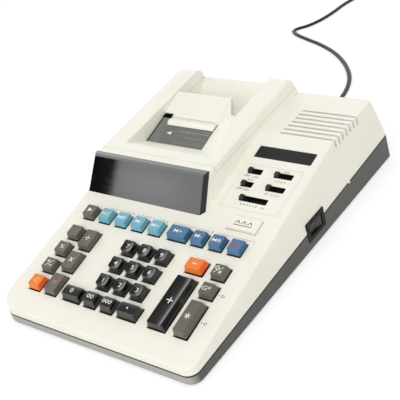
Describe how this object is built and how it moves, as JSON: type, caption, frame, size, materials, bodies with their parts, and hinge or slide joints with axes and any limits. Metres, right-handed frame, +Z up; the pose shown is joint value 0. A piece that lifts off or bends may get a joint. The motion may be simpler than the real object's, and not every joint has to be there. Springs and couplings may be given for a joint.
{
  "type": "printing calculator",
  "caption": "Desk printing calculator: sloping key deck, tilted display hood, lift-off printer cover with paper bay, slide switches, side power rocker and mains cord.",
  "frame": {"origin": "on the table under the middle of the housing, at the bottom of the rubber feet", "axes": "+X to the operator's right, +Y to the rear along the case's longest side, +Z up"},
  "size_m": [0.2849, 0.808, 0.0893],
  "materials": {
    "ivory_abs": "fine texture",
    "charcoal_abs": "fine texture",
    "smoked_acrylic": "polished",
    "black_key": "satin",
    "grey_key": "satin",
    "blue_key": "satin",
    "light_blue_key": "satin",
    "orange_key": "satin",
    "ivory_key": "satin",
    "display_glass": "polished",
    "silicone": "matt",
    "circuit_board": "satin",
    "core_steel": "varnished",
    "zinc_steel": "zinc plated",
    "platen_rubber": "matt",
    "black_nylon": "satin",
    "foot_rubber": "matt",
    "cord_pvc": "satin"
  },
  "bodies": {
    "case": {"lower_case": "charcoal_abs", "upper_case": "ivory_abs", "display_window": "smoked_acrylic", "display_tube": "display_glass", "dome_mat": "silicone", "main_board": "circuit_board", "power_transformer": "core_steel", "printer_frame": "zinc_steel", "power_switch": "black_nylon", "feet": "foot_rubber", "case_screws": "zinc_steel", "cord_gland": "cord_pvc", "power_cord": "cord_pvc", "cord_coil": "cord_pvc", "power_plug": "cord_pvc"},
    "cover": {"printer_cover": "ivory_abs", "printer_window": "smoked_acrylic", "paper_guide": "ivory_abs"},
    "digit_0": {"digit_0_key": "black_key"},
    "digit_1": {"digit_1_key": "black_key"},
    "digit_2": {"digit_2_key": "black_key"},
    "digit_3": {"digit_3_key": "black_key"},
    "digit_4": {"digit_4_key": "black_key"},
    "digit_5": {"digit_5_key": "black_key"},
    "digit_6": {"digit_6_key": "black_key"},
    "digit_7": {"digit_7_key": "black_key"},
    "digit_8": {"digit_8_key": "black_key"},
    "digit_9": {"digit_9_key": "black_key"},
    "double_zero": {"double_zero_key": "black_key"},
    "triple_zero": {"triple_zero_key": "black_key"},
    "point": {"point_key": "black_key"},
    "plus": {"plus_key": "grey_key"},
    "minus": {"minus_key": "grey_key"},
    "subtotal": {"subtotal_key": "grey_key"},
    "grand_total": {"grand_total_key": "grey_key"},
    "total": {"total_key": "grey_key"},
    "clear": {"clear_key": "orange_key"},
    "sign": {"sign_key": "grey_key"},
    "percent": {"percent_key": "grey_key"},
    "clear_entry": {"clear_entry_key": "grey_key"},
    "equals": {"equals_key": "grey_key"},
    "multiply": {"multiply_key": "grey_key"},
    "divide": {"divide_key": "grey_key"},
    "print_advance": {"print_advance_key": "grey_key"},
    "rate": {"rate_key": "grey_key"},
    "cost": {"cost_key": "grey_key"},
    "sell": {"sell_key": "grey_key"},
    "margin": {"margin_key": "light_blue_key"},
    "tax": {"tax_key": "grey_key"},
    "memory_total": {"memory_total_key": "blue_key"},
    "memory_recall": {"memory_recall_key": "blue_key"},
    "memory_plus": {"memory_plus_key": "blue_key"},
    "feed": {"feed_key": "ivory_key"},
    "print_switch": {"print_switch_knob": "grey_key"},
    "item_switch": {"item_switch_knob": "grey_key"},
    "rounding_switch": {"rounding_switch_knob": "grey_key"},
    "add_mode_switch": {"add_mode_switch_knob": "grey_key"},
    "decimal_switch": {"decimal_switch_knob": "grey_key"},
    "rocker": {"power_rocker": "black_nylon"},
    "platen": {"platen_roller": "platen_rubber"}
  },
  "joints": [
    {"name": "cover_lift", "type": "slide", "parent": "case", "child": "cover", "axis": [0, 0, 1], "range_m": [0, 0.045]},
    {"name": "digit_0_press", "type": "slide", "parent": "case", "child": "digit_0", "axis": [0, 0.2137, -0.9769], "range_m": [0, 0.003], "stiffness_N_per_m": 180, "springref_m": -0.002},
    {"name": "digit_1_press", "type": "slide", "parent": "case", "child": "digit_1", "axis": [0, 0.2137, -0.9769], "range_m": [0, 0.003], "stiffness_N_per_m": 180, "springref_m": -0.002},
    {"name": "digit_2_press", "type": "slide", "parent": "case", "child": "digit_2", "axis": [0, 0.2137, -0.9769], "range_m": [0, 0.003], "stiffness_N_per_m": 180, "springref_m": -0.002},
    {"name": "digit_3_press", "type": "slide", "parent": "case", "child": "digit_3", "axis": [0, 0.2137, -0.9769], "range_m": [0, 0.003], "stiffness_N_per_m": 180, "springref_m": -0.002},
    {"name": "digit_4_press", "type": "slide", "parent": "case", "child": "digit_4", "axis": [0, 0.2137, -0.9769], "range_m": [0, 0.003], "stiffness_N_per_m": 180, "springref_m": -0.002},
    {"name": "digit_5_press", "type": "slide", "parent": "case", "child": "digit_5", "axis": [0, 0.2137, -0.9769], "range_m": [0, 0.003], "stiffness_N_per_m": 180, "springref_m": -0.002},
    {"name": "digit_6_press", "type": "slide", "parent": "case", "child": "digit_6", "axis": [0, 0.2137, -0.9769], "range_m": [0, 0.003], "stiffness_N_per_m": 180, "springref_m": -0.002},
    {"name": "digit_7_press", "type": "slide", "parent": "case", "child": "digit_7", "axis": [0, 0.2137, -0.9769], "range_m": [0, 0.003], "stiffness_N_per_m": 180, "springref_m": -0.002},
    {"name": "digit_8_press", "type": "slide", "parent": "case", "child": "digit_8", "axis": [0, 0.2137, -0.9769], "range_m": [0, 0.003], "stiffness_N_per_m": 180, "springref_m": -0.002},
    {"name": "digit_9_press", "type": "slide", "parent": "case", "child": "digit_9", "axis": [0, 0.2137, -0.9769], "range_m": [0, 0.003], "stiffness_N_per_m": 180, "springref_m": -0.002},
    {"name": "double_zero_press", "type": "slide", "parent": "case", "child": "double_zero", "axis": [0, 0.2137, -0.9769], "range_m": [0, 0.003], "stiffness_N_per_m": 180, "springref_m": -0.002},
    {"name": "triple_zero_press", "type": "slide", "parent": "case", "child": "triple_zero", "axis": [0, 0.2137, -0.9769], "range_m": [0, 0.003], "stiffness_N_per_m": 180, "springref_m": -0.002},
    {"name": "point_press", "type": "slide", "parent": "case", "child": "point", "axis": [0, 0.2137, -0.9769], "range_m": [0, 0.003], "stiffness_N_per_m": 180, "springref_m": -0.002},
    {"name": "plus_press", "type": "slide", "parent": "case", "child": "plus", "axis": [0, 0.2137, -0.9769], "range_m": [0, 0.003], "stiffness_N_per_m": 180, "springref_m": -0.002},
    {"name": "minus_press", "type": "slide", "parent": "case", "child": "minus", "axis": [0, 0.2137, -0.9769], "range_m": [0, 0.003], "stiffness_N_per_m": 180, "springref_m": -0.002},
    {"name": "subtotal_press", "type": "slide", "parent": "case", "child": "subtotal", "axis": [0, 0.2137, -0.9769], "range_m": [0, 0.003], "stiffness_N_per_m": 180, "springref_m": -0.002},
    {"name": "grand_total_press", "type": "slide", "parent": "case", "child": "grand_total", "axis": [0, 0.2137, -0.9769], "range_m": [0, 0.003], "stiffness_N_per_m": 180, "springref_m": -0.002},
    {"name": "total_press", "type": "slide", "parent": "case", "child": "total", "axis": [0, 0.2137, -0.9769], "range_m": [0, 0.003], "stiffness_N_per_m": 180, "springref_m": -0.002},
    {"name": "clear_press", "type": "slide", "parent": "case", "child": "clear", "axis": [0, 0.2137, -0.9769], "range_m": [0, 0.003], "stiffness_N_per_m": 180, "springref_m": -0.002},
    {"name": "sign_press", "type": "slide", "parent": "case", "child": "sign", "axis": [0, 0.2137, -0.9769], "range_m": [0, 0.003], "stiffness_N_per_m": 180, "springref_m": -0.002},
    {"name": "percent_press", "type": "slide", "parent": "case", "child": "percent", "axis": [0, 0.2137, -0.9769], "range_m": [0, 0.003], "stiffness_N_per_m": 180, "springref_m": -0.002},
    {"name": "clear_entry_press", "type": "slide", "parent": "case", "child": "clear_entry", "axis": [0, 0.2137, -0.9769], "range_m": [0, 0.003], "stiffness_N_per_m": 180, "springref_m": -0.002},
    {"name": "equals_press", "type": "slide", "parent": "case", "child": "equals", "axis": [0, 0.2137, -0.9769], "range_m": [0, 0.003], "stiffness_N_per_m": 180, "springref_m": -0.002},
    {"name": "multiply_press", "type": "slide", "parent": "case", "child": "multiply", "axis": [0, 0.2137, -0.9769], "range_m": [0, 0.003], "stiffness_N_per_m": 180, "springref_m": -0.002},
    {"name": "divide_press", "type": "slide", "parent": "case", "child": "divide", "axis": [0, 0.2137, -0.9769], "range_m": [0, 0.003], "stiffness_N_per_m": 180, "springref_m": -0.002},
    {"name": "print_advance_press", "type": "slide", "parent": "case", "child": "print_advance", "axis": [0, 0.2137, -0.9769], "range_m": [0, 0.003], "stiffness_N_per_m": 180, "springref_m": -0.002},
    {"name": "rate_press", "type": "slide", "parent": "case", "child": "rate", "axis": [0, 0.2137, -0.9769], "range_m": [0, 0.003], "stiffness_N_per_m": 180, "springref_m": -0.002},
    {"name": "cost_press", "type": "slide", "parent": "case", "child": "cost", "axis": [0, 0.2137, -0.9769], "range_m": [0, 0.003], "stiffness_N_per_m": 180, "springref_m": -0.002},
    {"name": "sell_press", "type": "slide", "parent": "case", "child": "sell", "axis": [0, 0.2137, -0.9769], "range_m": [0, 0.003], "stiffness_N_per_m": 180, "springref_m": -0.002},
    {"name": "margin_press", "type": "slide", "parent": "case", "child": "margin", "axis": [0, 0.2137, -0.9769], "range_m": [0, 0.003], "stiffness_N_per_m": 180, "springref_m": -0.002},
    {"name": "tax_press", "type": "slide", "parent": "case", "child": "tax", "axis": [0, 0.2137, -0.9769], "range_m": [0, 0.003], "stiffness_N_per_m": 180, "springref_m": -0.002},
    {"name": "memory_total_press", "type": "slide", "parent": "case", "child": "memory_total", "axis": [0, 0.2137, -0.9769], "range_m": [0, 0.003], "stiffness_N_per_m": 180, "springref_m": -0.002},
    {"name": "memory_recall_press", "type": "slide", "parent": "case", "child": "memory_recall", "axis": [0, 0.2137, -0.9769], "range_m": [0, 0.003], "stiffness_N_per_m": 180, "springref_m": -0.002},
    {"name": "memory_plus_press", "type": "slide", "parent": "case", "child": "memory_plus", "axis": [0, 0.2137, -0.9769], "range_m": [0, 0.003], "stiffness_N_per_m": 180, "springref_m": -0.002},
    {"name": "feed_press", "type": "slide", "parent": "case", "child": "feed", "axis": [0, 0.2137, -0.9769], "range_m": [0, 0.003], "stiffness_N_per_m": 180, "springref_m": -0.002},
    {"name": "print_switch_slide", "type": "slide", "parent": "case", "child": "print_switch", "axis": [1, 0, 0], "range_m": [0, 0.0081]},
    {"name": "item_switch_slide", "type": "slide", "parent": "case", "child": "item_switch", "axis": [1, 0, 0], "range_m": [0, 0.0124]},
    {"name": "rounding_switch_slide", "type": "slide", "parent": "case", "child": "rounding_switch", "axis": [1, 0, 0], "range_m": [0, 0.0056]},
    {"name": "add_mode_switch_slide", "type": "slide", "parent": "case", "child": "add_mode_switch", "axis": [1, 0, 0], "range_m": [0, 0.0124]},
    {"name": "decimal_switch_slide", "type": "slide", "parent": "case", "child": "decimal_switch", "axis": [1, 0, 0], "range_m": [0, 0.0221]},
    {"name": "rocker_tilt", "type": "hinge", "parent": "case", "child": "rocker", "pos_m": [0.104, 0.024, 0.0185], "axis": [0, 0, 1], "range_deg": [0, 12]},
    {"name": "platen_spin", "type": "hinge", "parent": "case", "child": "platen", "pos_m": [-0.04, 0.066, 0.0575], "axis": [1, 0, 0], "continuous": true}
  ]
}
